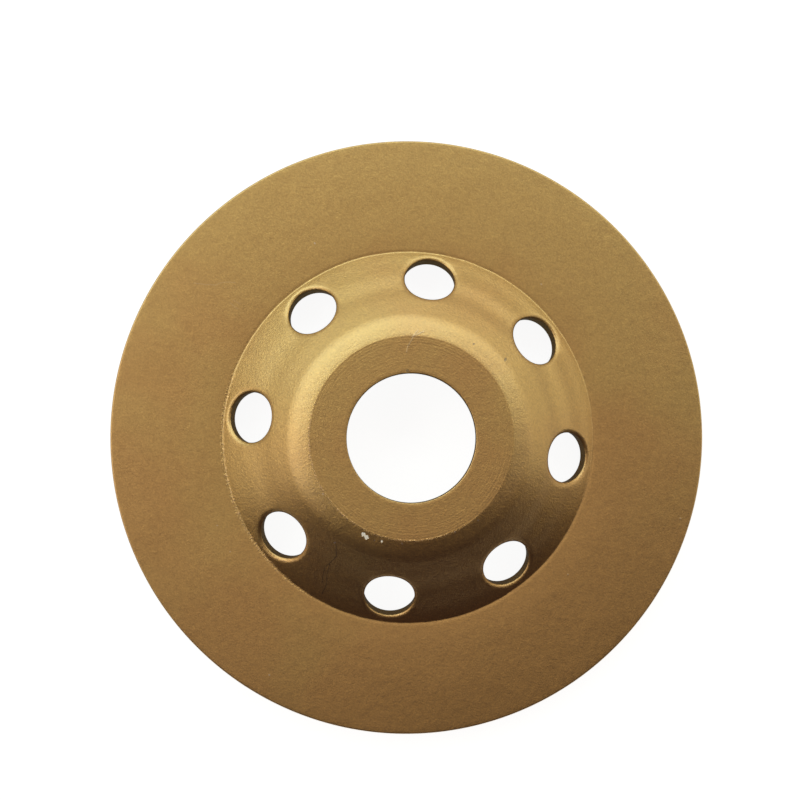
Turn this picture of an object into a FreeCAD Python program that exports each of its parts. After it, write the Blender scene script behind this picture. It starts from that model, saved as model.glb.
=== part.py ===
import FreeCAD, Part
import math
import os

import Sketcher
from FreeCAD import Placement, Rotation, Vector

# Diamond cup grinding disc, lying on its segments with the hub upwards.
# The origin is the centre of the grinding plane and +Z runs along the bore towards the back.

# Driving dimensions: name, value in millimetres or degrees, and what it measures
dimensions = [
    ("boreDiameter", 22.23, "hole in the hub that centres the disc on its flange"),
    ("sheetThickness", 2, "pressed steel sheet"),
    ("coneFootRadius", 32.8, "fold between the flat rim and the cone"),
    ("rimWidth", 19.7, "flat rim from the fold to the edge"),
    ("hubCornerRadius", 18.6, "where the cone and the hub would meet without the shoulder's bend"),
    ("hubRise", 9.2, "turned hub face above the back of the rim"),
    ("facingDepth", 0.3, "turned off the back of the hub"),
    ("shoulderRadius", 12, "bend between cone and hub, on the back"),
    ("footBendRadius", 2.5, "bend between rim and cone, on the front"),
    ("rimChamfer", 0.4, "broken outer edges of the rim"),
    ("ventCount", 8, "vent holes round the cone"),
    ("ventDiameter", 8.8, "vent hole, square to the cone"),
    ("ventSetback", 5.6, "vent centre up the cone from the fold"),
    ("segmentCount", 24, "diamond segments round the rim"),
    ("segmentHeight", 5, "segment below the rim"),
    ("segmentFootGap", 1.2, "between the fold and the inner end of a segment"),
    ("segmentRimGap", 0.5, "between the outer end of a segment and the rim's edge"),
    ("slotWidth", 3, "between two segments"),
    ("slotRadius", 32, "curve of a slot's centre line"),
    ("slotCentreRadius", 40, "circle that the slots' centres lie on"),
]

# Sizes that follow from the driving dimensions
derived = [
    ("discDiameter", "=2 * (coneFootRadius + rimWidth)", "over the rim"),
    ("rimBack", "=segmentHeight + sheetThickness", "height of the rim's back face"),
    ("hubBlank", "=rimBack + hubRise + facingDepth", "height of the hub's back before it is turned"),
    ("coneAngle", "=atan((hubRise + facingDepth) / (coneFootRadius - hubCornerRadius))", "slope of the cone"),
    ("ventDepth", "=4 * sheetThickness", "drilling depth, well through the sheet"),
    ("segmentInner", "=coneFootRadius + segmentFootGap", "radius of the segments' inner ends"),
    ("segmentOuter", "=discDiameter / 2 - segmentRimGap", "radius of the segments' outer ends"),
    ("segmentPitch", "=360 deg / segmentCount", "angle from one segment to the next"),
    ("segmentMiddle", "=(segmentInner + segmentOuter) / 2", "radius half way along the segments"),
    ("slotTurn", "=acos((segmentMiddle ^ 2 + slotCentreRadius ^ 2 - slotRadius ^ 2)"
                 " / (2 * segmentMiddle * slotCentreRadius))",
     "angle from the middle of a slot to the centre of its curve"),
]

doc = FreeCAD.newDocument("GrindingDisc")
sheet = doc.addObject("Spreadsheet::Sheet", "Sizes")
for row, (alias, value, meaning) in enumerate(dimensions + derived, start=1):
    sheet.set(f"A{row}", meaning)
    sheet.set(f"B{row}", str(value))
    sheet.setAlias(f"B{row}", alias)
doc.recompute()


def size(alias):
    """Value of a cell as a plain number."""
    value = sheet.get(alias)
    return getattr(value, "Value", value)


# Widest miss that still counts as the same place, in millimetres, and Sketcher's numbers
# for the sketch's own origin and for the points of a line or arc
tolerance = 0.001
origin, start, end, centre = -1, 1, 2, 3


def newBody(label):
    body = doc.addObject("PartDesign::Body", label)
    body.Label = label
    return body


def originFeature(body, role):
    return next(feature for feature in body.Origin.OriginFeatures if feature.Role == role)


def newSketch(body, name, planeRole):
    sketch = body.newObject("Sketcher::SketchObject", name)
    sketch.AttachmentSupport = [(originFeature(body, planeRole), "")]
    sketch.MapMode = "FlatFace"
    return sketch


def constrain(sketch, name, expression, *arguments):
    """Add a named dimension to a sketch and bind it to the sheet."""
    index = sketch.addConstraint(Sketcher.Constraint(*arguments))
    sketch.renameConstraint(index, name)
    sketch.setExpression(f"Constraints.{name}", expression)


def addPolygon(sketch, points):
    """Closed chain of straight lines; line i runs from point i to point i + 1."""
    count = len(points)
    for i in range(count):
        sketch.addGeometry(Part.LineSegment(Vector(*points[i]), Vector(*points[(i + 1) % count])))
    for i in range(count):
        sketch.addConstraint(Sketcher.Constraint("Coincident", i, end, (i + 1) % count, start))


def circleEdges(shape, radius, height):
    """Names of the edges that run right round the axis at one radius and height."""
    found = []
    for number, edge in enumerate(shape.Edges, start=1):
        if isinstance(edge.Curve, Part.Circle):
            centre = edge.Curve.Center
            onAxis = math.hypot(centre.x, centre.y) < tolerance
            if onAxis and abs(centre.z - height) < tolerance and abs(edge.Curve.Radius - radius) < tolerance:
                found.append(f"Edge{number}")
    return found


def dressUp(body, kind, name, edges, dimension, expression):
    """Fillet or chamfer on named edges of the body's tip."""
    base = body.Tip
    feature = body.newObject(kind, name)
    feature.Base = (base, edges)
    feature.setExpression(dimension, expression)
    doc.recompute()


def cutsSomething(feature, before):
    if feature.Shape.Volume >= before:
        raise RuntimeError(f"{feature.Label} removes nothing")


# Steel body: the pressed sheet as a revolved profile, then its bends, turned hub face and vent holes

def buildProfile(body):
    """Section of the sheet with sharp corners, in the XZ plane."""
    bore = size("boreDiameter") / 2
    rim = size("discDiameter") / 2
    foot, corner, wall = size("coneFootRadius"), size("hubCornerRadius"), size("sheetThickness")
    rimFront, rimBack, hubBack = size("segmentHeight"), size("rimBack"), size("hubBlank")
    slope = math.radians(size("coneAngle"))
    drop = wall / math.cos(slope)
    innerFoot = foot - (drop - wall) / math.tan(slope)
    innerCorner = corner - (drop - wall) / math.tan(slope)
    sketch = newSketch(body, "SheetProfile", "XZ_Plane")
    addPolygon(sketch, [
        (bore, hubBack - wall), (bore, hubBack), (corner, hubBack), (foot, rimBack),
        (rim, rimBack), (rim, rimFront), (innerFoot, rimFront), (innerCorner, hubBack - wall),
    ])
    boreWall, hubFace, cone, rimFace, rimWall, rimSeat, innerCone, hubSeat = range(8)
    for line in (boreWall, rimWall):
        sketch.addConstraint(Sketcher.Constraint("Vertical", line))
    for line in (hubFace, rimFace, rimSeat, hubSeat):
        sketch.addConstraint(Sketcher.Constraint("Horizontal", line))
    sketch.addConstraint(Sketcher.Constraint("Parallel", cone, innerCone))
    constrain(sketch, "bore", "Sizes.boreDiameter / 2", "DistanceX", origin, start, boreWall, start, bore)
    constrain(sketch, "corner", "Sizes.hubCornerRadius", "DistanceX", origin, start, cone, start, corner)
    constrain(sketch, "foot", "Sizes.coneFootRadius", "DistanceX", origin, start, cone, end, foot)
    constrain(sketch, "rim", "Sizes.discDiameter / 2", "DistanceX", origin, start, rimWall, start, rim)
    constrain(sketch, "seat", "Sizes.segmentHeight", "DistanceY", origin, start, rimWall, end, rimFront)
    constrain(sketch, "rimWall", "Sizes.sheetThickness", "DistanceY", rimWall, end, rimWall, start, wall)
    constrain(sketch, "hubWall", "Sizes.sheetThickness", "DistanceY", boreWall, start, boreWall, end, wall)
    constrain(sketch, "coneWall", "Sizes.sheetThickness", "Distance", cone, end, innerCone, wall)
    constrain(sketch, "rise", "Sizes.hubRise + Sizes.facingDepth",
              "DistanceY", cone, end, cone, start, hubBack - rimBack)
    return sketch, innerFoot, innerCorner


def buildSteelBody():
    body = newBody("steel_body")
    profile, innerFoot, innerCorner = buildProfile(body)
    pressing = body.newObject("PartDesign::Revolution", "Pressing")
    pressing.Profile = profile
    pressing.ReferenceAxis = (profile, ["V_Axis"])
    pressing.Angle = 360
    doc.recompute()

    rimFront, rimBack, hubBack = size("segmentHeight"), size("rimBack"), size("hubBlank")
    hubFront = hubBack - size("sheetThickness")
    rim = size("discDiameter") / 2
    bends = [
        ("Shoulder", size("hubCornerRadius"), hubBack, "Sizes.shoulderRadius"),
        ("ShoulderFront", innerCorner, hubFront, "Sizes.shoulderRadius - Sizes.sheetThickness"),
        ("FootBend", innerFoot, rimFront, "Sizes.footBendRadius"),
    ]
    for name, radius, height, expression in bends:
        edges = circleEdges(body.Tip.Shape, radius, height)
        dressUp(body, "PartDesign::Fillet", name, edges, "Radius", expression)
    edges = circleEdges(body.Tip.Shape, rim, rimBack) + circleEdges(body.Tip.Shape, rim, rimFront)
    dressUp(body, "PartDesign::Chamfer", "RimEdges", edges, "Size", "Sizes.rimChamfer")

    buildFacing(body)
    buildVents(body)
    return body


def buildFacing(body):
    """Turn the back of the hub flat, which leaves a crisp edge on the shoulder."""
    face = size("rimBack") + size("hubRise")
    bore, foot = size("boreDiameter") / 2, size("coneFootRadius")
    cut = 2 * size("facingDepth")
    sketch = newSketch(body, "FacingProfile", "XZ_Plane")
    addPolygon(sketch, [(bore / 2, face), (foot, face), (foot, face + cut), (bore / 2, face + cut)])
    for line in (0, 2):
        sketch.addConstraint(Sketcher.Constraint("Horizontal", line))
    for line in (1, 3):
        sketch.addConstraint(Sketcher.Constraint("Vertical", line))
    constrain(sketch, "inside", "Sizes.boreDiameter / 4", "DistanceX", origin, start, 0, start, bore / 2)
    constrain(sketch, "outside", "Sizes.coneFootRadius", "DistanceX", origin, start, 0, end, foot)
    constrain(sketch, "face", "Sizes.rimBack + Sizes.hubRise", "DistanceY", origin, start, 0, start, face)
    constrain(sketch, "cut", "2 * Sizes.facingDepth", "DistanceY", 1, start, 1, end, cut)

    before = body.Tip.Shape.Volume
    facing = body.newObject("PartDesign::Groove", "Facing")
    facing.Profile = sketch
    facing.ReferenceAxis = (sketch, ["V_Axis"])
    facing.Angle = 360
    doc.recompute()
    cutsSomething(facing, before)


def buildVents(body):
    """Vent holes drilled square to the cone, one and then all of them round the axis."""
    slope = math.radians(size("coneAngle"))
    setback = size("ventSetback")
    sketch = newSketch(body, "VentCentre", "XY_Plane")
    sketch.AttachmentOffset = Placement(
        Vector(size("coneFootRadius") - setback * math.cos(slope), 0, size("rimBack") + setback * math.sin(slope)),
        Rotation(Vector(0, 1, 0), size("coneAngle")))
    sketch.setExpression("AttachmentOffset.Base.x",
                         "Sizes.coneFootRadius - Sizes.ventSetback * cos(Sizes.coneAngle)")
    sketch.setExpression("AttachmentOffset.Base.z",
                         "Sizes.rimBack + Sizes.ventSetback * sin(Sizes.coneAngle)")
    sketch.setExpression("AttachmentOffset.Rotation.Angle", "Sizes.coneAngle")
    sketch.addGeometry(Part.Circle(Vector(0, 0, 0), Vector(0, 0, 1), size("ventDiameter") / 2))
    sketch.addConstraint(Sketcher.Constraint("Coincident", 0, centre, origin, start))
    constrain(sketch, "diameter", "Sizes.ventDiameter", "Diameter", 0, size("ventDiameter"))
    doc.recompute()

    before = body.Tip.Shape.Volume
    vent = body.newObject("PartDesign::Hole", "Vent")
    vent.Profile = sketch
    doc.recompute()
    vent.DepthType = "Dimension"
    vent.DrillPoint = "Flat"
    vent.setExpression("Diameter", "Sizes.ventDiameter")
    vent.setExpression("Depth", "Sizes.ventDepth")
    doc.recompute()
    cutsSomething(vent, before)

    vents = body.newObject("PartDesign::PolarPattern", "Vents")
    vents.Originals = [vent]
    vents.Axis = (originFeature(body, "Z_Axis"), [""])
    vents.Angle = 360
    vents.setExpression("Occurrences", "Sizes.ventCount")
    body.Tip = vents
    doc.recompute()


# Diamond segments: curved blocks brazed on the front of the rim, between curved slots

def arcBetween(sketch, arcCentre, radius, first, last):
    """Arc drawn anticlockwise from one point to another."""
    angles = [math.atan2(point.y - arcCentre.y, point.x - arcCentre.x) for point in (first, last)]
    circle = Part.Circle(arcCentre, Vector(0, 0, 1), radius)
    return sketch.addGeometry(Part.ArcOfCircle(circle, angles[0], angles[1]))


def polar(radius, angle):
    return Vector(radius * math.cos(angle), radius * math.sin(angle), 0)


def crossing(arcCentreAngle, arcRadius, ringRadius):
    """Where a slot's side crosses a circle round the axis, on the clockwise side of its centre."""
    reach = size("slotCentreRadius")
    turn = math.acos((ringRadius ** 2 + reach ** 2 - arcRadius ** 2) / (2 * ringRadius * reach))
    return polar(ringRadius, arcCentreAngle - turn)


def buildSegment(number):
    body = newBody(f"segment_{number:02d}")
    inner, outer = size("segmentInner"), size("segmentOuter")
    reach, halfSlot = size("slotCentreRadius"), size("slotWidth") / 2
    turn, halfPitch = math.radians(size("slotTurn")), math.radians(size("segmentPitch") / 2)
    leadAngle, trailAngle = turn + halfPitch, turn - halfPitch
    leadRadius, trailRadius = size("slotRadius") + halfSlot, size("slotRadius") - halfSlot

    sketch = newSketch(body, f"SegmentProfile{number:02d}", "XY_Plane")
    leadInner, leadOuter = crossing(leadAngle, leadRadius, inner), crossing(leadAngle, leadRadius, outer)
    trailInner, trailOuter = crossing(trailAngle, trailRadius, inner), crossing(trailAngle, trailRadius, outer)
    axis = Vector(0, 0, 0)
    innerEnd = arcBetween(sketch, axis, inner, trailInner, leadInner)
    outerEnd = arcBetween(sketch, axis, outer, trailOuter, leadOuter)
    lead = arcBetween(sketch, polar(reach, leadAngle), leadRadius, leadInner, leadOuter)
    trail = arcBetween(sketch, polar(reach, trailAngle), trailRadius, trailInner, trailOuter)
    for first, point, second, side in ((innerEnd, start, trail, start), (innerEnd, end, lead, start),
                                       (outerEnd, start, trail, end), (outerEnd, end, lead, end)):
        sketch.addConstraint(Sketcher.Constraint("Coincident", first, point, second, side))
    for arc in (innerEnd, outerEnd):
        sketch.addConstraint(Sketcher.Constraint("Coincident", arc, centre, origin, start))
    constrain(sketch, "inner", "Sizes.segmentInner", "Radius", innerEnd, inner)
    constrain(sketch, "outer", "Sizes.segmentOuter", "Radius", outerEnd, outer)
    constrain(sketch, "lead", "Sizes.slotRadius + Sizes.slotWidth / 2", "Radius", lead, leadRadius)
    constrain(sketch, "trail", "Sizes.slotRadius - Sizes.slotWidth / 2", "Radius", trail, trailRadius)
    for name, arc, angle, sign in (("lead", lead, leadAngle, "+"), ("trail", trail, trailAngle, "-")):
        place = polar(reach, angle)
        formula = f"(Sizes.slotTurn {sign} Sizes.segmentPitch / 2)"
        constrain(sketch, f"{name}X", f"Sizes.slotCentreRadius * cos{formula}",
                  "DistanceX", origin, start, arc, centre, place.x)
        constrain(sketch, f"{name}Y", f"Sizes.slotCentreRadius * sin{formula}",
                  "DistanceY", origin, start, arc, centre, place.y)

    block = body.newObject("PartDesign::Pad", f"Block{number:02d}")
    block.Profile = sketch
    block.setExpression("Length", "Sizes.segmentHeight")
    doc.recompute()

    body.Placement = Placement(axis, Rotation(Vector(0, 0, 1), (number - 1) * size("segmentPitch")))
    body.setExpression("Placement.Rotation.Angle", f"{number - 1} * Sizes.segmentPitch")
    return body


bodies = [buildSteelBody()]
for number in range(1, int(size("segmentCount")) + 1):
    bodies.append(buildSegment(number))
doc.recompute()

# Everything is checked before any file is written
for item in doc.Objects:
    if any(word in item.State for word in ("Invalid", "Error")):
        raise RuntimeError(f"{item.Label} failed: {item.State}")
for body in bodies:
    if body.Shape.isNull() or not body.Shape.isValid() or len(body.Shape.Solids) != 1:
        raise RuntimeError(f"{body.Label} is not one valid solid")

os.makedirs("parts", exist_ok=True)
for body in bodies:
    body.Shape.exportStep(f"parts/{body.Label}.step")
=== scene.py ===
import math
import random

import bmesh
import bpy
from mathutils import Matrix, Vector, noise


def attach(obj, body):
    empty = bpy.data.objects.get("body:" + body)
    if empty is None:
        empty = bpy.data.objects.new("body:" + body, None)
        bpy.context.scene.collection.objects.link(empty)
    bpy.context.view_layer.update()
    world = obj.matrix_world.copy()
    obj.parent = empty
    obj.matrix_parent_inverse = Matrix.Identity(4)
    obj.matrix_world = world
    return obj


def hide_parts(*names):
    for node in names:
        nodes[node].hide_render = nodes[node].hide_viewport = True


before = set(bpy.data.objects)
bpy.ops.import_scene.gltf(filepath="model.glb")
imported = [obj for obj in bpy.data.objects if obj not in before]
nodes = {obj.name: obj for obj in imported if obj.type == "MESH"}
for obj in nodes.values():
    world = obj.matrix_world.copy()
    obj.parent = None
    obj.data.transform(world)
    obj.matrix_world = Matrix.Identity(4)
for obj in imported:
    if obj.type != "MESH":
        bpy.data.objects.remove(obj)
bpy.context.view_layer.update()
scene = bpy.context.scene
print("loaded", len(nodes), "nodes")

# The disc's own sizes in millimetres, as its source has them. The grinding plane is at height 0.
disc = {
    "flatRadius": 17.62,             # edge of the turned hub face
    "hubFace": 16.2,
    "coneFootRadius": 32.8,
    "coneSlope": math.atan2(9.5, 14.2),
    "rimBack": 7.0,
    "rimFront": 5.0,
    "segmentCount": 24,
    "segmentInner": 34.0,
    "segmentOuter": 52.0,
    "slotWidth": 3.0,
    "slotRadius": 32.0,
    "slotCentreRadius": 40.0,
}


# Camera. Places round the disc are given as the photograph shows them:
# right, up and towards the camera, in millimetres from the bore's axis.

view = {
    "roll": math.radians(7.3),       # turn of the vent holes from the photograph's upright
    "cameraPlace": (-15.5, 5.0, 307.0),
    "cameraAim": (-1.55, 6.6, 7.0),
    "focalLength": 76.4,
    "sensorWidth": 36,
    "photoSize": 800,                # pixels each way
    "nearest": 0.01,                 # metres from the lens at which things begin to show
}


def staged(place):
    # World position in metres of a place given as the photograph shows it
    turn, height = view["roll"], Vector((0, 0, place[2]))
    right = Vector((math.cos(turn), math.sin(turn), 0))
    up = Vector((-math.sin(turn), math.cos(turn), 0))
    return (right * place[0] + up * place[1] + height) / 1000


def aim(obj, place, target, up):
    # Put an object at a place with its -Z towards the target
    back = (place - target).normalized()
    right = up.cross(back).normalized()
    turn = Matrix((right, back.cross(right), back)).transposed().to_4x4()
    obj.matrix_world = Matrix.Translation(place) @ turn


def addObject(name, data):
    obj = bpy.data.objects.new(name, data)
    scene.collection.objects.link(obj)
    return obj


camera = addObject("camera", bpy.data.cameras.new("camera"))
camera.data.lens = view["focalLength"]
camera.data.sensor_width = view["sensorWidth"]
camera.data.clip_start = view["nearest"]
aim(camera, staged(view["cameraPlace"]), staged(view["cameraAim"]), staged((0, 1, 0)))
scene.camera = camera


def underPixel(pixel, height):
    # Where a pixel of the photograph meets a level of the disc, in millimetres
    middle = view["photoSize"] / 2
    focal = view["focalLength"] / view["sensorWidth"] * view["photoSize"]
    across, up = (pixel[0] - middle) / focal, (middle - pixel[1]) / focal
    ray = camera.matrix_world.to_3x3() @ Vector((across, up, -1))
    start = camera.matrix_world.translation * 1000
    return start + ray * ((height - start.z) / ray.z)


print("camera set")


# Helpers for node trees

def addNode(tree, kind, inputs=None, **settings):
    # One node with its settings; an input takes a value or the socket that feeds it
    node = tree.nodes.new(kind)
    for name, value in settings.items():
        setattr(node, name, value)
    for key, value in (inputs or {}).items():
        if isinstance(value, bpy.types.NodeSocket):
            tree.links.new(value, node.inputs[key])
        else:
            node.inputs[key].default_value = value
    return node


def calc(tree, operation, first, second=0.0):
    return addNode(tree, "ShaderNodeMath", {0: first, 1: second}, operation=operation).outputs[0]


def total(tree, result, *others):
    for value in others:
        result = calc(tree, "ADD", result, value)
    return result


def product(tree, result, *others):
    for value in others:
        result = calc(tree, "MULTIPLY", result, value)
    return result


def between(tree, value, low, high, start=0.0, end=1.0):
    # Smooth step from start to end while the value goes from low to high
    inputs = {"Value": value, "From Min": low, "From Max": high, "To Min": start, "To Max": end}
    return addNode(tree, "ShaderNodeMapRange", inputs, interpolation_type="SMOOTHSTEP").outputs["Result"]


def blend(tree, amount, first, second, mode="MIX"):
    inputs = {0: amount, 6: first, 7: second}
    return addNode(tree, "ShaderNodeMix", inputs, data_type="RGBA", blend_type=mode).outputs[2]


def cloud(tree, place, scale, detail=2.0, roughness=0.5):
    inputs = {"Vector": place, "Scale": scale, "Detail": detail, "Roughness": roughness}
    return addNode(tree, "ShaderNodeTexNoise", inputs).outputs[0]


def cells(tree, place, scale):
    return addNode(tree, "ShaderNodeTexVoronoi", {"Vector": place, "Scale": scale}).outputs


def vectorCalc(tree, operation, first, second, output=0):
    return addNode(tree, "ShaderNodeVectorMath", {0: first, 1: second}, operation=operation).outputs[output]


def firstOf(tree, colour):
    return addNode(tree, "ShaderNodeSeparateColor", {0: colour}).outputs[0]


def places(tree):
    # Position in millimetres, the same without its height, distance from the bore's axis, and height
    position = addNode(tree, "ShaderNodeTexCoord").outputs["Object"]
    place = vectorCalc(tree, "MULTIPLY", position, (1000, 1000, 1000))
    flat = vectorCalc(tree, "MULTIPLY", place, (1, 1, 0))
    radius = addNode(tree, "ShaderNodeVectorMath", {0: flat}, operation="LENGTH").outputs["Value"]
    height = addNode(tree, "ShaderNodeSeparateXYZ", {0: place}).outputs[2]
    return place, flat, radius, height


def outwards(tree, flat, direction):
    # Millimetres from the bore's axis in a direction of the photograph
    return vectorCalc(tree, "DOT_PRODUCT", flat, staged(direction) * 1000, "Value")


def varied(tree, place, scale, detail=2.0, roughness=0.5):
    # Noise about zero
    return calc(tree, "SUBTRACT", cloud(tree, place, scale, detail, roughness), 0.5)


def newMaterial(name):
    material = bpy.data.materials.new(name)
    material.use_nodes = True
    material.node_tree.nodes.clear()
    return material, material.node_tree


def finish(tree, shader):
    addNode(tree, "ShaderNodeOutputMaterial", {"Surface": shader.outputs[0]})


def reliefBump(tree, relief):
    # Bump from a relief in millimetres
    metres = calc(tree, "MULTIPLY", relief, 0.001)
    return addNode(tree, "ShaderNodeBump", {"Height": metres, "Strength": 1.0, "Distance": 1.0}).outputs[0]


# Marks in the paint, each at its pixel in the photograph, with its size in millimetres

marks = {
    "paleChips": [((363.4, 534.4), 0.33), ((366.6, 537.2), 0.33), ((382, 541.8), 0.2)],
    "faintChips": [((334.5, 542.3), 0.10), ((402, 543.5), 0.08), ((323, 494), 0.12), ((329, 503), 0.08),
                   ((375, 540.2), 0.12), ((478, 520.7), 0.10), ((455, 532), 0.08), ((509.5, 491), 0.08),
                   ((269.4, 675), 0.12), ((541, 284), 0.10), ((296, 233), 0.10), ((315, 243), 0.08),
                   ((217, 525.5), 0.10), ((230, 552), 0.08)],
    "darkSpots": [((505.5, 359.5), 0.20), ((473.6, 344.3), 0.10), ((407.3, 371), 0.2)],
    "paleScratches": [[(424, 331), (414, 336), (411, 341), (408, 346), (406.5, 352)],
                      [(418, 330), (412, 337)]],
    "faintScratches": [[(194, 283), (206, 284.5), (216, 285), (220, 283), (226, 282), (235, 282.6)],
                       [(230, 303), (238, 309)], [(233, 300), (240, 304)]],
    "darkHairs": [[(336, 545), (336.5, 556), (330, 563), (325, 567), (323, 576), (322.5, 582)],
                  [(330, 563), (327.5, 573), (326, 586), (322, 594)]],
    "lineWidth": 0.13,
    "lineCore": 0.3,                 # share of that width with the full mark
    "spotBorder": 0.08,
}


def markPlace(pixel):
    # Where a mark lies on the disc's back, seen from above
    point = underPixel(pixel, disc["rimBack"])
    climb = (disc["coneFootRadius"] - math.hypot(point.x, point.y)) * math.tan(disc["coneSlope"])
    height = disc["rimBack"] + min(max(climb, 0), disc["hubFace"] - disc["rimBack"])
    point = underPixel(pixel, height)
    return Vector((point.x, point.y, 0))


def largest(tree, masks):
    result = masks[0]
    for mask in masks[1:]:
        result = calc(tree, "MAXIMUM", result, mask)
    return result


def spotMask(tree, flat, spots, ragged):
    # 1 within any of the spots, with edges made ragged by a noise
    masks = []
    for pixel, size in spots:
        away = vectorCalc(tree, "DISTANCE", flat, markPlace(pixel), "Value")
        away = calc(tree, "ADD", away, ragged)
        masks.append(between(tree, away, size, size + marks["spotBorder"], 1.0, 0.0))
    return largest(tree, masks)


def lineMask(tree, flat, lines):
    # 1 on the fine lines through the given pixels
    masks, width = [], marks["lineWidth"]
    for points in lines:
        for first, second in zip(points, points[1:]):
            start = markPlace(first)
            run = markPlace(second) - start
            offset = vectorCalc(tree, "SUBTRACT", flat, start)
            along = vectorCalc(tree, "DOT_PRODUCT", offset, run / run.length_squared, "Value")
            along = addNode(tree, "ShaderNodeClamp", {0: along}).outputs[0]
            scaled = addNode(tree, "ShaderNodeVectorMath", {0: run, "Scale": along}, operation="SCALE")
            foot = scaled.outputs[0]
            away = vectorCalc(tree, "DISTANCE", offset, foot, "Value")
            masks.append(between(tree, away, width * marks["lineCore"], width, 1.0, 0.0))
    return largest(tree, masks)


# Metallic gold paint on the pressed steel

goldPaint = {
    "olive": (0.458, 0.297, 0.093, 1.0),
    "brown": (0.440, 0.256, 0.080, 1.0),
    "patchNoise": (0.045, 3.0),      # scale per millimetre, detail, and roughness where it isn't 0.5
    "shadedSideBrowning": 0.0045,            # how fast olive turns to brown towards the bottom of the camera's view: painted shade, a warm tint of the shaded side
    "patchEdges": (0.32, 0.68),
    "mottleNoise": (1.1, 3.0, 0.6),
    "mottle": 0.28,                  # how far the mottling lightens and darkens
    "mottleRoughness": 0.12,
    "grainNoise": (2.6, 2.0, 0.7),
    "grain": 0.6,
    "roughness": 0.39,
    "hubRoughness": 0.03,            # what the hub face and the front add to it
    "frontRoughness": 0.08,
    "coatRoughness": 0.34,
    "coatIor": 1.6,
    "peelScale": 0.8,
    "peelRelief": 0.032,             # millimetres, as all reliefs here
    "grainRelief": 0.026,
    "hubGrain": 0.9,                 # how much more grain the hub face has, and the cone
    "coneGrain": 1.2,
    "coneBorder": 0.5,
    "raggedScale": 2.2,
    "raggedness": 0.7,
    "spotCover": 0.5,                # how far a dark spot hides the metal
    "facesBack": (0.05, 0.3),        # upward part of the normal where front turns to back
}

hubTurning = {
    "ringScale": 3.2,
    "ringDetail": 3.0,
    "ringRelief": 0.05,
    "wander": 0.12,                  # how far the rings wander, in millimetres
    "wanderNoise": (0.25, 1.0),
    "deepening": (12.0, 16.5, 0.35, 1.0),        # from which radius to which, and from how deep to how deep
    "patchScale": 0.12,
    "patches": (0.35, 0.7, 0.4, 1.0),
    "shade": (0.97, 0.955, 0.95, 1.0),
    "border": (0.06, 0.02),          # the turning ends between these, under the face and past its edge
}

# Flaws that lie along an edge or all over, and painted glints along the fold, with distances in millimetres
hubFlecks = {"reach": (0.05, 0.24), "heights": (15.6, 15.8), "noise": (3.4, 2.0, 0.7),
             "cut": (0.50, 0.58), "side": (-0.6, -0.8, 0), "sideReach": (2.0, 12.0), "elsewhere": 0.12}
# Along the fold: raised lumps, with bright painted glints on them
foldLumpsAndGlints = {"offset": 0.1, "reach": (0.15, 0.5), "noise": (2.2, 2.0, 0.7), "cut": (0.5, 0.6),
              "side": (-1, -0.3, 0), "sideReach": (22.0, 33.0)}
speckle = {"scale": 0.16, "above": 0.78, "size": (0.016, 0.03), "strength": 0.6}
frontStain = {"noise": (0.12, 4.0, 0.6), "cut": (0.42, 0.68), "most": 0.35}

# Colour of each flaw and of the fold's painted glints, how much of it shows, and how far it stands out of the
# paint or lies in it
flawTones = {
    # Bare metal at the hub edge's chips; on the fold's lumps the same tone is a painted glint
    "rawEdgeAndGlint": (0.80, 0.50, 0.28, 1.0),
    "bareSteel": (0.62, 0.56, 0.50, 1.0),
    "chipWhite": (0.86, 0.83, 0.78, 1.0),
    "dirt": (0.06, 0.045, 0.03, 1.0),
    "stain": (0.16, 0.105, 0.05, 1.0),
}
flawLooks = {
    "hubFlecks": ("rawEdgeAndGlint", 0.75, 0.05),
    # Fold: raised lumps, coloured as painted glints
    "foldLumpsAndGlints": ("rawEdgeAndGlint", 0.35, 0.04),
    "specks": ("bareSteel", 0.6, 0.03),
    "paleScratches": ("bareSteel", 0.2, 0.02),
    "faintScratches": ("bareSteel", 0.1, 0.0),
    "paleChips": ("chipWhite", 0.85, -0.05),
    "faintChips": ("bareSteel", 0.4, 0.0),
    "darkSpots": ("dirt", 0.55, -0.04),
    "darkHairs": ("dirt", 0.5, -0.008),
    "stain": ("stain", 1.0, 0.0),
}


def edgeFlecks(tree, place, flat, flecks, reach, elsewhere):
    # Broken paint within a reach of an edge, most of it on one side of the disc; along the fold, painted
    # glints on raised lumps
    side = outwards(tree, flat, flecks["side"])
    return product(tree, between(tree, reach, *flecks["reach"], 1.0, 0.0),
                   between(tree, cloud(tree, place, *flecks["noise"]), *flecks["cut"]),
                   between(tree, side, *flecks["sideReach"], elsewhere, 1.0))


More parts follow.
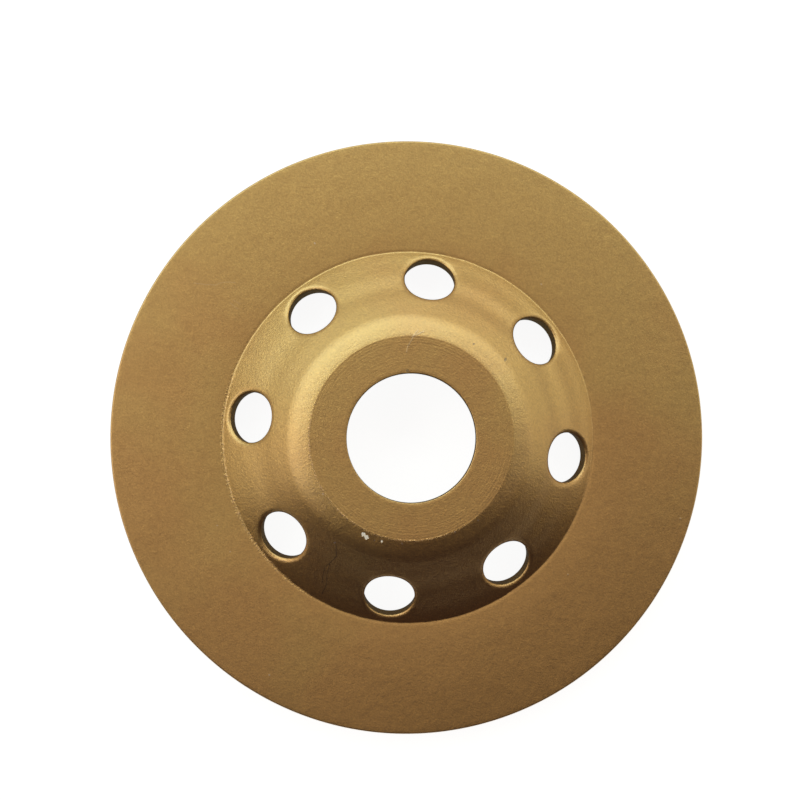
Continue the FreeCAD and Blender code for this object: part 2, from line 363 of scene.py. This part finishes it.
def paintFlaws(tree, place, flat, radius, height, back, front):
    # Where each flaw of the paint shows, and the painted glints along the fold
    fromEdge = calc(tree, "ABSOLUTE", calc(tree, "SUBTRACT", radius, disc["flatRadius"]))
    fromFold = calc(tree, "SUBTRACT", radius, disc["coneFootRadius"] + foldLumpsAndGlints["offset"])
    fromFold = calc(tree, "ABSOLUTE", fromFold)
    speckCells = cells(tree, place, speckle["scale"])
    chosen = calc(tree, "GREATER_THAN", firstOf(tree, speckCells["Color"]), speckle["above"])
    flaws = {
        "hubFlecks": product(tree, edgeFlecks(tree, place, flat, hubFlecks, fromEdge, hubFlecks["elsewhere"]),
                             between(tree, height, *hubFlecks["heights"])),
        # Painted glints on raised lumps along the fold
        "foldLumpsAndGlints": product(tree, edgeFlecks(tree, place, flat, foldLumpsAndGlints, fromFold, 0.0), back),
        "specks": product(tree, chosen, between(tree, speckCells["Distance"], *speckle["size"], 1.0, 0.0),
                          speckle["strength"]),
        "stain": product(tree, front, between(tree, cloud(tree, place, *frontStain["noise"]),
                                              *frontStain["cut"], 0.0, frontStain["most"])),
    }
    ragged = product(tree, varied(tree, place, goldPaint["raggedScale"]), goldPaint["raggedness"])
    for name in ("paleChips", "faintChips", "darkSpots"):
        flaws[name] = product(tree, back, spotMask(tree, flat, marks[name], ragged))
    for name in ("paleScratches", "faintScratches", "darkHairs"):
        flaws[name] = product(tree, back, lineMask(tree, flat, marks[name]))
    return flaws


def makeGoldPaint():
    material, tree = newMaterial("goldPaint")
    place, flat, radius, height = places(tree)
    normal = addNode(tree, "ShaderNodeNewGeometry").outputs["Normal"]
    upward = addNode(tree, "ShaderNodeSeparateXYZ", {0: normal}).outputs[2]
    back = between(tree, upward, *goldPaint["facesBack"])
    front = calc(tree, "SUBTRACT", 1.0, back)
    # Browner towards the bottom of the camera's view: painted shade on the shaded side, over the paint's own
    # random patches
    shadedBrowning = product(tree, outwards(tree, flat, (0, -1, 0)), goldPaint["shadedSideBrowning"])
    patches = total(tree, cloud(tree, place, *goldPaint["patchNoise"]), shadedBrowning)
    patches = between(tree, patches, *goldPaint["patchEdges"])
    mottle = varied(tree, place, *goldPaint["mottleNoise"])
    grain = varied(tree, place, *goldPaint["grainNoise"])
    colour = blend(tree, patches, goldPaint["olive"], goldPaint["brown"])
    level = total(tree, product(tree, mottle, goldPaint["mottle"]),
                  product(tree, grain, goldPaint["grain"]), 1.0)
    level = addNode(tree, "ShaderNodeCombineColor", {0: level, 1: level, 2: level}).outputs[0]
    colour = blend(tree, 1.0, colour, level, "MULTIPLY")

    # Turned hub face: rings that wander a little, and paint a shade darker on them
    face, flatEdge = disc["hubFace"], disc["flatRadius"]
    most, least = hubTurning["border"]
    hub = product(tree, between(tree, height, face - most, face - least),
                  between(tree, radius, flatEdge + least, flatEdge + most, 1.0, 0.0))
    wander = product(tree, cloud(tree, place, *hubTurning["wanderNoise"]), hubTurning["wander"])
    rings = addNode(tree, "ShaderNodeTexNoise", {
        "W": total(tree, radius, wander), "Scale": hubTurning["ringScale"],
        "Detail": hubTurning["ringDetail"]}, noise_dimensions="1D").outputs[0]
    turned = product(tree, hub, between(tree, radius, *hubTurning["deepening"]),
                     between(tree, cloud(tree, place, hubTurning["patchScale"]), *hubTurning["patches"]))
    colour = blend(tree, hub, colour, blend(tree, 1.0, colour, hubTurning["shade"], "MULTIPLY"))

    foot = disc["coneFootRadius"]
    cone = product(tree, calc(tree, "SUBTRACT", 1.0, hub),
                   between(tree, radius, foot - goldPaint["coneBorder"], foot, 1.0, 0.0))
    moreGrain = total(tree, product(tree, hub, goldPaint["hubGrain"]),
                      product(tree, cone, goldPaint["coneGrain"]), 1.0)
    relief = total(tree, product(tree, cloud(tree, place, goldPaint["peelScale"]), goldPaint["peelRelief"]),
                   product(tree, grain, moreGrain, goldPaint["grainRelief"]),
                   product(tree, rings, turned, hubTurning["ringRelief"]))
    flaws = paintFlaws(tree, place, flat, radius, height, back, front)
    for name, (tone, share, rise) in flawLooks.items():
        colour = blend(tree, product(tree, flaws[name], share), colour, flawTones[tone])
        if rise:
            relief = total(tree, relief, product(tree, flaws[name], rise))
    roughness = total(tree, product(tree, mottle, goldPaint["mottleRoughness"]),
                      product(tree, hub, goldPaint["hubRoughness"]),
                      product(tree, front, goldPaint["frontRoughness"]), goldPaint["roughness"])
    spots = product(tree, flaws["darkSpots"], goldPaint["spotCover"])
    covered = calc(tree, "MAXIMUM", flaws["paleChips"], spots)
    shader = addNode(tree, "ShaderNodeBsdfPrincipled", {
        "Base Color": colour, "Metallic": calc(tree, "SUBTRACT", 1.0, covered), "Roughness": roughness,
        "Coat Weight": 1.0, "Coat Roughness": goldPaint["coatRoughness"],
        "Coat IOR": goldPaint["coatIor"], "Normal": reliefBump(tree, relief)})
    finish(tree, shader)
    return material


# Sintered segments: bare grinding face, gold paint sprayed over the rest

sinteredMatrix = {
    "metal": (0.235, 0.215, 0.195, 1.0),
    "bronze": (0.27, 0.20, 0.13, 1.0),
    # Pores: near black, painted shade in pits that are only a bump
    "pores": (0.05, 0.045, 0.04, 1.0),
    "overspray": (0.40, 0.245, 0.078, 1.0),
    "coarseNoise": (1.3, 4.0, 0.65),
    "bronzeCut": (0.4, 0.62),
    "poreNoise": (3.2, 3.0, 0.6),
    "poreCut": (0.56, 0.68),
    "openPores": 0.6,                # how far the pores, with their painted shade, show through the paint
    "bareHeight": 0.7,               # millimetres above the grinding plane without paint
    "bareBorder": 0.25,
    "bareWander": 1.6,
    "coarseRelief": 0.05,
    "lumpScale": 2.6,
    "lumpRelief": 0.03,
    "poreRelief": -0.03,
    "metallic": 0.85,
    "roughness": 0.48,
    "paintRoughness": -0.05,         # what paint and pores add to it
    "poreRoughness": 0.25,
    "voxel": 0.30,
    "pitting": 0.16,
    "pitScale": 0.9,
    "pitLayers": 3,                  # of finer and finer pits
}
diamond = {
    "dark": (0.50, 0.49, 0.30, 1.0),
    "light": (0.66, 0.64, 0.52, 1.0),
    "tintScale": 1.4,
    "roughness": 0.16,
    "ior": 2.2,
}


def makeSinteredMatrix():
    look = sinteredMatrix
    material, tree = newMaterial("sinteredMatrix")
    place, _, _, height = places(tree)
    coarse = cloud(tree, place, *look["coarseNoise"])
    bare = blend(tree, between(tree, coarse, *look["bronzeCut"]), look["metal"], look["bronze"])
    pores = between(tree, cloud(tree, place, *look["poreNoise"]), *look["poreCut"])
    # Near black in the pores: painted shade in the pits
    bare = blend(tree, pores, bare, look["pores"])
    wander = product(tree, calc(tree, "SUBTRACT", coarse, 0.5), look["bareWander"])
    painted = between(tree, total(tree, height, wander),
                      look["bareHeight"] - look["bareBorder"], look["bareHeight"] + look["bareBorder"])
    cover = product(tree, painted, calc(tree, "SUBTRACT", 1.0, product(tree, pores, look["openPores"])))
    colour = blend(tree, cover, bare, look["overspray"])
    lumps = cells(tree, place, look["lumpScale"])["Distance"]
    relief = total(tree, product(tree, coarse, look["coarseRelief"]),
                   product(tree, lumps, look["lumpRelief"]), product(tree, pores, look["poreRelief"]))
    roughness = total(tree, product(tree, painted, look["paintRoughness"]),
                      product(tree, pores, look["poreRoughness"]), look["roughness"])
    shader = addNode(tree, "ShaderNodeBsdfPrincipled", {
        "Base Color": colour, "Metallic": look["metallic"], "Roughness": roughness,
        "Normal": reliefBump(tree, relief)})
    finish(tree, shader)
    return material


def makeCrystals():
    material, tree = newMaterial("diamondCrystals")
    place = places(tree)[0]
    tint = firstOf(tree, cells(tree, place, diamond["tintScale"])["Color"])
    shader = addNode(tree, "ShaderNodeBsdfPrincipled", {
        "Base Color": blend(tree, tint, diamond["dark"], diamond["light"]),
        "Roughness": diamond["roughness"], "IOR": diamond["ior"]})
    finish(tree, shader)
    return material


paint = makeGoldPaint()
matrix = makeSinteredMatrix()
crystals = makeCrystals()
for name, node in nodes.items():
    node.data.materials.clear()
    node.data.materials.append(paint if name == "steel_body" else matrix)
print("materials made")


# Helpers for meshes

def polar(radius, angle):
    return Vector((radius * math.cos(angle), radius * math.sin(angle), 0))


def meshObject(name, bm, material):
    mesh = bpy.data.meshes.new(name)
    bm.to_mesh(mesh)
    bm.free()
    mesh.materials.append(material)
    piece = addObject(name, mesh)
    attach(piece, "root")
    return piece


# Steel body: the pressed sheet drawn as rings round the axis, on the CAD profile,
# with the rounded edges, rolled vent lips and small unevenness of the pressing

pressing = {
    "columns": 288,                  # round the axis
    "cornerSteps": 4,                # along each small rounding of the section
    "bendSteps": 6,
    "besideFold": (0.12, 0.25, 0.4, 0.6),
    "rimSteps": (26, 14),            # across the rim's back, and its front
    "hubSteps": (12, 5),
    "shoulderSteps": (10, 8),
    "boreSteps": 3,
    "vents": 8,
    "ventCentre": 5.6,               # up the cone from the fold
    "ventRadius": 4.4,
    "lipWidth": 0.8,                 # rolled lip on a vent's back
    "lipDepth": 0.5,
    "frontLip": 0.25,
    "breakout": 0.15,                # how much wider a punched hole is at its front
    "patch": (0.3, 10.9),            # stretch of the cone that holds the vents
    "patchRows": 14,
    "patchHalf": 11,                 # columns to each side of a vent that its grid takes
    "spreadSteps": 4,                # rings from that grid's border to the vent's lip
    "lipSteps": 6,
    "landings": 4,                   # rounds that bring a point of the lip onto the cone
    "thickness": 2.0,
    "foldRound": 0.7,
    "edgeRound": 0.3,
    "boreRadius": 11.115,
    "boreRound": 0.2,
    "faceRound": 1.4,
    "faceInset": 0.2,                # from the hub face's edge to where its rounding starts
    "faceGap": 0.03,                 # angle between that rounding and the shoulder
    "flatMargin": 0.05,              # inside the edge by this the hub face stays even
    "arcCentre": (14.956, 4.5),      # of both shoulder arcs
    "backArc": 12.0,
    "discRadius": 52.5,
    "dishWidth": 6.0,                # rim beside the fold that dips a little
    "dishDepth": 0.14,
    "pinchWidth": 0.7,               # narrow dip along the fold
    "pinchDepth": 0.06,
    "coneFade": 4.0,                 # stretch of the cone over which both dips run out
    "sagStart": 42.0,                # rim outside this droops a little
    "sag": 0.12,
    "waves": ((0.035, 0.11), (0.014, 0.37)),     # height and scale of the sheet's unevenness
    "foldWander": 0.08,              # how far the fold strays, and within what distance of it
    "foldReach": 0.5,
    "foldScale": 0.8,
    "bulge": 0.2,                    # fullness of the shoulder's outer half
    "bulgeSpan": (18.2, 21.7, 26.5),
    "ripple": 0.01,                  # height of the rings round the cone, and what one side adds
    "sideRipple": 0.055,
    "rippleSide": (0.94, 0.34, 0),
    "rippleFade": 5.0,
    "rippleCrest": 27.4,
    "ripplePitch": 4.2,
}


def coneSpot(climb, angle, depth=0.0):
    # Point of the cone at a distance up from the fold and a depth under its back
    slope = disc["coneSlope"]
    spot = polar(disc["coneFootRadius"] - climb * math.cos(slope) - depth * math.sin(slope), angle)
    spot.z = disc["rimBack"] + climb * math.sin(slope) - depth * math.cos(slope)
    return spot


def arc(centre, radius, startAngle, endAngle, steps):
    # Profile points round a centre; the angle is measured from upright towards the outside
    angles = [startAngle + (endAngle - startAngle) * i / steps for i in range(steps + 1)]
    return [(centre[0] + radius * math.sin(a), centre[1] + radius * math.cos(a)) for a in angles]


def line(start, end, steps):
    # Profile points between two others, without these
    return [(start[0] + (end[0] - start[0]) * i / steps, start[1] + (end[1] - start[1]) * i / steps)
            for i in range(1, steps)]


def rimProfile():
    # From the fold's back over the rim and its edge to the front
    slope, down, steps = disc["coneSlope"], math.pi, pressing["cornerSteps"]
    small, edge = pressing["foldRound"], pressing["edgeRound"]
    bend = (disc["coneFootRadius"] + small * math.tan(slope / 2), disc["rimBack"] + small)
    outside = pressing["discRadius"] - edge
    fold = arc(bend, small, down + slope, down, steps)
    backEdge = arc((outside, disc["rimBack"] - edge), edge, 0, down / 2, steps)
    frontEdge = arc((outside, disc["rimFront"] + edge), edge, down / 2, down, steps)
    foot = arc(bend, small + pressing["thickness"], down, down + slope, pressing["bendSteps"])
    nearFold = [(fold[-1][0] + step, disc["rimBack"]) for step in pressing["besideFold"]]
    backSteps, frontSteps = pressing["rimSteps"]
    return (fold + nearFold + line(nearFold[-1], backEdge[0], backSteps) + backEdge + frontEdge
            + line(frontEdge[-1], foot[0], frontSteps) + foot)


def hubProfile():
    # From the shoulder's back over the hub face and through the bore to the inner shoulder
    slope, centre, corner = disc["coneSlope"], pressing["arcCentre"], pressing["boreRound"]
    top, faceRound, quarter = disc["hubFace"], pressing["faceRound"], math.pi / 2
    faceCentre = (disc["flatRadius"] - pressing["faceInset"], top - faceRound)
    faceTurn = math.acos((top - centre[1]) / pressing["backArc"])
    backSteps, innerSteps = pressing["shoulderSteps"]
    face = arc(faceCentre, faceRound, faceTurn, 0, pressing["cornerSteps"])
    shoulder = arc(centre, pressing["backArc"], slope, faceTurn + pressing["faceGap"], backSteps)
    inner = arc(centre, pressing["backArc"] - pressing["thickness"], 0, slope, innerSteps)
    bore = pressing["boreRadius"] + corner
    backEdge = arc((bore, top - corner), corner, 0, -quarter, pressing["boreSteps"])
    frontEdge = arc((bore, inner[0][1] + corner), corner, -quarter, -2 * quarter, pressing["boreSteps"])
    faceSteps, frontSteps = pressing["hubSteps"]
    return (shoulder + face + line(face[-1], backEdge[0], faceSteps) + backEdge + frontEdge
            + line(frontEdge[-1], inner[0], frontSteps) + inner)


def ventSpot(angle, around, reach, depth):
    # Point at a reach from a vent's axis, moved along that axis onto the cone at a depth.
    # Gives the point, the axis, and the point's climb and angle on the cone.
    slope, foot, upright = disc["coneSlope"], disc["coneFootRadius"], Vector((0, 0, 1))
    outward, along = polar(1, angle), polar(1, angle + math.pi / 2)
    up = upright * math.sin(slope) - outward * math.cos(slope)
    normal = outward * math.sin(slope) + upright * math.cos(slope)
    spot = coneSpot(pressing["ventCentre"], angle, depth)
    spot += up * reach * math.cos(around) + along * reach * math.sin(around)
    for _ in range(pressing["landings"]):
        over = (spot.z - disc["rimBack"]) * math.cos(slope) - (foot - spot.xy.length) * math.sin(slope)
        spot -= normal * (over + depth)
    climb = (foot - depth * math.sin(slope) - spot.xy.length) / math.cos(slope)
    return spot, normal, climb, math.atan2(spot.dot(along), spot.dot(outward))


def unevenness(spot):
    # Small shift in height of the pressed sheet
    radius, foot = spot.xy.length, disc["coneFootRadius"]
    if radius <= disc["flatRadius"] - pressing["flatMargin"]:
        return 0.0
    shift = sum(height * noise.noise(spot * scale) for height, scale in pressing["waves"])
    beyond = radius - foot
    for kind in ("dish", "pinch"):
        width = pressing[kind + "Width"] if beyond > 0 else pressing["coneFade"]
        shift -= pressing[kind + "Depth"] * max(1 - abs(beyond) / width, 0) ** 2
    sagStart = pressing["sagStart"]
    if radius > sagStart:
        shift -= pressing["sag"] * ((radius - sagStart) / (pressing["discRadius"] - sagStart)) ** 2
    start, crest, end = pressing["bulgeSpan"]
    share = min(max((radius - start) / (crest - start), 0), max((end - radius) / (end - crest), 0))
    shift += pressing["bulge"] * share ** 2 * (3 - 2 * share)
    if start < radius < foot:
        towards = 0.5 + 0.5 * staged(pressing["rippleSide"]).normalized().dot(spot) / radius
        height = pressing["ripple"] + pressing["sideRipple"] * towards ** 2
        fade = min((radius - start) / pressing["rippleFade"], 1, foot - radius)
        phase = math.tau * (radius - pressing["rippleCrest"]) / pressing["ripplePitch"]
        shift += height * fade * math.sin(phase)
    return shift


def skin(bm, rows):
    # Faces between closed rows of vertices, each with as many
    for row, following in zip(rows, rows[1:]):
        for i in range(len(row)):
            j = (i + 1) % len(row)
            bm.faces.new((row[i], row[j], following[j], following[i])).smooth = True


def patchSpot(row, column):
    # Climb up the cone and turn from the vent's middle of a place in its grid
    low, high = pressing["patch"]
    return low + (high - low) * row / pressing["patchRows"], math.tau * column / pressing["columns"]


def makeVent(bm, number, grids):
    # A vent's wall and lips, joined to the cells left open for it in the back and front grids
    rows, half, columns = pressing["patchRows"], pressing["patchHalf"], pressing["columns"]
    perVent, turn = columns // pressing["vents"], math.tau * number / pressing["vents"]
    border = ([(0, i) for i in range(-half, half)] + [(i, half) for i in range(rows)]
              + [(rows, i) for i in range(half, -half, -1)] + [(i, -half) for i in range(rows, 0, -1)])
    centre = coneSpot(pressing["ventCentre"], turn)
    middleRadius, edges = centre.xy.length, [patchSpot(*place) for place in border]
    arounds = [math.atan2(edgeTurn * middleRadius, climb - pressing["ventCentre"])
               for climb, edgeTurn in edges]
    hole, frontLip = pressing["ventRadius"], pressing["frontLip"]
    spread, lip = pressing["spreadSteps"], pressing["lipSteps"]
    sides = []
    for grid, depth, bore, width, drop in (
            (grids[0], 0.0, hole, pressing["lipWidth"], pressing["lipDepth"]),
            (grids[1], pressing["thickness"], hole + pressing["breakout"], frontLip, -frontLip)):
        side = [[grid[row][(perVent * number + column) % columns] for row, column in border]]
        spots = [ventSpot(turn, around, bore + width, depth) for around in arounds]
        for k in range(1, spread + 1):
            share = k / spread
            side.append([bm.verts.new(coneSpot(edgeClimb + (climb - edgeClimb) * share,
                                               turn + edgeTurn + (angle - edgeTurn) * share, depth))
                         for (spot, normal, climb, angle), (edgeClimb, edgeTurn) in zip(spots, edges)])
        for j in range(1, lip + 1):
            sweep, ring = math.pi / 2 * j / lip, []
            reach = bore + width * (1 - math.sin(sweep))
            for spot, normal, climb, angle in spots:
                fromAxis = (spot - centre) - normal * (spot - centre).dot(normal)
                inward = fromAxis * (1 - reach / fromAxis.length)
                ring.append(bm.verts.new(spot - inward - normal * drop * (1 - math.cos(sweep))))
            side.append(ring)
        sides.append(side)
    skin(bm, sides[0] + sides[1][::-1])


def makeConeGrid(bm, depth):
    # Rows of vertices on one skin of the cone, with faces everywhere but at the vents
    columns, rows, half = pressing["columns"], pressing["patchRows"], pressing["patchHalf"]
    perVent, grid = columns // pressing["vents"], []
    for row in range(rows + 1):
        points = [patchSpot(row, i) for i in range(columns)]
        inVent = [0 < row < rows and 0 < (i + half) % perVent < 2 * half for i in range(columns)]
        grid.append([None if skipped else bm.verts.new(coneSpot(*point, depth))
                     for skipped, point in zip(inVent, points)])
    for row, above in zip(grid, grid[1:]):
        for i in range(columns):
            if (i + half) % perVent >= 2 * half:
                j = (i + 1) % columns
                bm.faces.new((row[i], row[j], above[j], above[i])).smooth = True
    return grid


def makeSteelBody():
    bm = bmesh.new()
    angles = [math.tau * i / pressing["columns"] for i in range(pressing["columns"])]
    grids = [makeConeGrid(bm, depth) for depth in (0.0, pressing["thickness"])]
    for profile, row in ((rimProfile(), 0), (hubProfile(), -1)):
        rings = [[bm.verts.new((r * math.cos(a), r * math.sin(a), z)) for a in angles] for r, z in profile]
        skin(bm, [grids[0][row]] + rings + [grids[1][row]])
    for number in range(pressing["vents"]):
        makeVent(bm, number, grids)
    for vertex in bm.verts:
        spot = vertex.co.copy()
        fromFold = abs(spot.xy.length - disc["coneFootRadius"])
        stray = pressing["foldWander"] * noise.noise(spot * pressing["foldScale"])
        outward = Vector((spot.x, spot.y, 0)).normalized()
        vertex.co += outward * max(1 - fromFold / pressing["foldReach"], 0) * stray
        vertex.co.z += unevenness(spot)
        vertex.co /= 1000
    bmesh.ops.recalc_face_normals(bm, faces=bm.faces)
    body = meshObject("steelBody", bm, paint)
    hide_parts("steel_body")
    body.modifiers.new("shading", "WEIGHTED_NORMAL").keep_sharp = True


makeSteelBody()
print("steel body made")


# Segments: pitted sintered surface

pitting = bpy.data.textures.new("pitting", "CLOUDS")
pitting.noise_scale = sinteredMatrix["pitScale"] / 1000
pitting.noise_depth = sinteredMatrix["pitLayers"]
for name, node in nodes.items():
    if name == "steel_body":
        continue
    sinter = node.modifiers.new("sinter", "REMESH")
    sinter.mode = "VOXEL"
    sinter.voxel_size = sinteredMatrix["voxel"] / 1000
    sinter.use_smooth_shade = True
    pits = node.modifiers.new("pits", "DISPLACE")
    pits.texture = pitting
    pits.texture_coords = "LOCAL"
    pits.strength = sinteredMatrix["pitting"] / 1000
    pits.mid_level = 1.0
print("segments pitted")


# Plan of a segment in millimetres: its outline grown by an amount, anticlockwise

def slotTurn(radius, arcRadius):
    # Angle from a slot's centre back to where its arc crosses a circle round the axis
    reach = disc["slotCentreRadius"]
    return math.acos((radius ** 2 + reach ** 2 - arcRadius ** 2) / (2 * radius * reach))


def segmentSides(radius, grow=0.0):
    # Angles at which a segment's two sides cross a circle round the axis
    middle = (disc["segmentInner"] + disc["segmentOuter"]) / 2
    slot, halfSlot = disc["slotRadius"], disc["slotWidth"] / 2 - grow
    turn, halfPitch = slotTurn(middle, slot), math.pi / disc["segmentCount"]
    return (turn - halfPitch - slotTurn(radius, slot - halfSlot),
            turn + halfPitch - slotTurn(radius, slot + halfSlot))


def segmentOutline(grow, rimGrow, steps=14, endSteps=6):
    inner, outer = disc["segmentInner"] - grow, disc["segmentOuter"] + rimGrow
    radii = [inner + (outer - inner) * i / steps for i in range(steps + 1)]
    outline = [polar(radius, segmentSides(radius, grow)[0]) for radius in radii]
    trail, lead = segmentSides(outer, grow)
    outline += [polar(outer, trail + (lead - trail) * i / endSteps) for i in range(1, endSteps)]
    outline += [polar(radius, segmentSides(radius, grow)[1]) for radius in reversed(radii)]
    trail, lead = segmentSides(inner, grow)
    outline += [polar(inner, lead + (trail - lead) * i / endSteps) for i in range(1, endSteps)]
    return outline


# Braze that has run out round the foot of each segment

brazeBead = {
    "width": 0.42,
    "widthAtRim": 0.1,
    "sunk": 0.12,
    "height": 0.55,
    "overlap": 0.02,                 # into the rim
    "unevenness": 0.45,
    "scale": 0.9,
    "profileSteps": 4,
}


def makeBrazeBeads():
    bm = bmesh.new()
    steps = brazeBead["profileSteps"]
    against = segmentOutline(-brazeBead["sunk"], -brazeBead["sunk"])
    apart = segmentOutline(brazeBead["width"], brazeBead["widthAtRim"])
    for number in range(disc["segmentCount"]):
        turn = Matrix.Rotation(math.tau * number / disc["segmentCount"], 3, "Z")
        rows = []
        for inside, outside in zip(against, apart):
            inside, outside = turn @ inside, turn @ outside
            swell = 1 + brazeBead["unevenness"] * min(noise.noise(inside * brazeBead["scale"]), 0)
            row = []
            for i in range(steps + 1):
                sweep = math.pi / 2 * i / steps
                spot = inside.lerp(outside, (1 - math.sin(sweep)) * swell)
                drop = (1 - math.cos(sweep)) * brazeBead["height"] * swell
                spot.z = disc["rimFront"] + brazeBead["overlap"] - drop
                row.append(bm.verts.new(spot / 1000))
            rows.append(row)
        for row, following in zip(rows, rows[1:] + rows[:1]):
            for i in range(steps):
                bm.faces.new((row[i], row[i + 1], following[i + 1], following[i])).smooth = True
    bmesh.ops.recalc_face_normals(bm, faces=bm.faces)
    meshObject("brazeBeads", bm, paint)


# Diamond grit standing out of the grinding faces

grit = {"perSegment": 95, "smallest": 0.15, "largest": 0.25, "lift": 0.05, "margin": 0.35,
        "ragged": 0.12, "seed": 7}


def anyWay(rng):
    return Vector((rng.uniform(-1, 1), rng.uniform(-1, 1), rng.uniform(-1, 1)))


def makeGrit():
    rng = random.Random(grit["seed"])
    pattern = bmesh.new()
    bmesh.ops.create_icosphere(pattern, subdivisions=1, radius=1.0)
    corners = [vertex.co.copy() for vertex in pattern.verts]
    sides = [[vertex.index for vertex in face.verts] for face in pattern.faces]
    pattern.free()
    limits = ((disc["segmentInner"] + grit["margin"]) ** 2, (disc["segmentOuter"] - grit["margin"]) ** 2)
    bm = bmesh.new()
    for number in range(disc["segmentCount"]):
        turn = math.tau * number / disc["segmentCount"]
        for _ in range(grit["perSegment"]):
            radius = math.sqrt(rng.uniform(*limits))
            trail, lead = segmentSides(radius, -grit["margin"])
            size = rng.uniform(grit["smallest"], grit["largest"])
            centre = polar(radius, turn + rng.uniform(trail, lead))
            centre.z = size + rng.uniform(0.0, grit["lift"])
            spinTurn = rng.uniform(0, math.tau)
            spin = Matrix.Rotation(spinTurn, 3, Vector((rng.uniform(-1, 1), rng.uniform(-1, 1), 1)))
            made = []
            for corner in corners:
                spot = centre + (spin @ corner + anyWay(rng) * grit["ragged"]) * size
                spot.z = max(spot.z, 0.0)
                made.append(bm.verts.new(spot / 1000))
            for side in sides:
                bm.faces.new([made[i] for i in side])
    meshObject("diamondGrit", bm, crystals)


makeBrazeBeads()
makeGrit()
print("braze and grit made")


# Soft boxes round the upper half of the photograph, a dim world and a pale floor

softBoxes = {
    "distance": 700,
    "azimuths": (5, 50, 95, 140, 185),       # degrees anticlockwise from the photograph's right
    "low": {"elevation": 16, "width": 560, "height": 330, "strength": (0.94, 0.92, 0.86, 0.78, 0.60),
            "colours": ((1.0, 0.93, 0.66),) * 4 + ((1.0, 0.84, 0.56),)},
    "middle": {"elevation": 43, "width": 430, "height": 450, "strength": (0.8, 1.95, 2.27, 2.4, 1.97),
               "colours": ((1.0, 0.93, 0.76), (0.92, 0.97, 0.84), (0.87, 1.0, 0.94), (0.87, 1.0, 0.94),
                           (1.0, 0.92, 0.78))},
    "top": {"azimuth": 122, "elevation": 84.5, "width": 480, "height": 480, "colour": (1.0, 0.79, 0.54),
            "strength": 0.68},
}
surroundings = {
    "world": (1.0, 0.6, 0.75, 1.0),
    "worldStrength": 0.045,
    "floorColour": (0.22, 0.22, 0.22, 1.0),
    "floorGlow": 0.92,
    "farGlow": 0.13,
    "glowReach": (90.0, 260.0),      # the disc mirrors less of the floor beyond this
    "underGlow": 0.06,               # share of the glow that shows in the disc from under it
    "underDisc": (45.0, 62.0),
    "floorSize": 6.0,
}


def addSoftBox(name, azimuth, row, colour, strength):
    light = bpy.data.lights.new(name, "AREA")
    light.shape = "RECTANGLE"
    light.size, light.size_y = row["width"] / 1000, row["height"] / 1000
    light.energy = strength * math.pi * light.size * light.size_y    # strength is its face's glow
    light.color = colour
    lamp = addObject(name, light)
    around, above = math.radians(azimuth), math.radians(row["elevation"])
    place = polar(math.cos(above), around) + Vector((0, 0, math.sin(above)))
    target = Vector((0, 0, disc["rimFront"] / 1000))
    aim(lamp, staged(place * softBoxes["distance"]), target, Vector((0, 0, 1)))
    lamp.visible_camera = False


for rowName in ("low", "middle"):
    row = softBoxes[rowName]
    for azimuth, colour, strength in zip(softBoxes["azimuths"], row["colours"], row["strength"]):
        addSoftBox(f"{rowName}Box{azimuth}", azimuth, row, colour, strength)
top = softBoxes["top"]
addSoftBox("topBox", top["azimuth"], top, top["colour"], top["strength"])

world = bpy.data.worlds.new("studio")
scene.world = world
world.use_nodes = True
sky = world.node_tree
sky.nodes.clear()
dim = addNode(sky, "ShaderNodeBackground", {0: surroundings["world"], 1: surroundings["worldStrength"]})
pale = addNode(sky, "ShaderNodeBackground", {0: (1, 1, 1, 1), 1: surroundings["floorGlow"]})
seenDirectly = addNode(sky, "ShaderNodeLightPath").outputs["Is Camera Ray"]
sight = addNode(sky, "ShaderNodeMixShader", {0: seenDirectly, 1: dim.outputs[0], 2: pale.outputs[0]})
addNode(sky, "ShaderNodeOutputWorld", {"Surface": sight.outputs[0]})


def makeFloor():
    # White to the camera, with the disc's shadow; its reflection fades far out and under the disc
    material, tree = newMaterial("paleFloor")
    seen = addNode(tree, "ShaderNodeLightPath").outputs
    radius = places(tree)[2]
    mirrored = product(tree, calc(tree, "MAXIMUM", seen["Is Glossy Ray"], seen["Is Transmission Ray"]),
                       between(tree, radius, *surroundings["underDisc"], surroundings["underGlow"], 1.0),
                       between(tree, radius, *surroundings["glowReach"], 1.0, surroundings["farGlow"]))
    shown = calc(tree, "MAXIMUM", seen["Is Camera Ray"], mirrored)
    glow = addNode(tree, "ShaderNodeEmission", {
        "Color": (1, 1, 1, 1), "Strength": product(tree, shown, surroundings["floorGlow"])})
    surface = addNode(tree, "ShaderNodeBsdfDiffuse", {"Color": surroundings["floorColour"]})
    finish(tree, addNode(tree, "ShaderNodeAddShader", {0: glow.outputs[0], 1: surface.outputs[0]}))
    bpy.ops.mesh.primitive_plane_add(size=surroundings["floorSize"], location=(0, 0, 0))
    floor = bpy.context.object
    floor.name = "floor"
    floor.data.materials.append(material)


makeFloor()
scene.view_settings.view_transform = "Standard"
print("light and floor set")
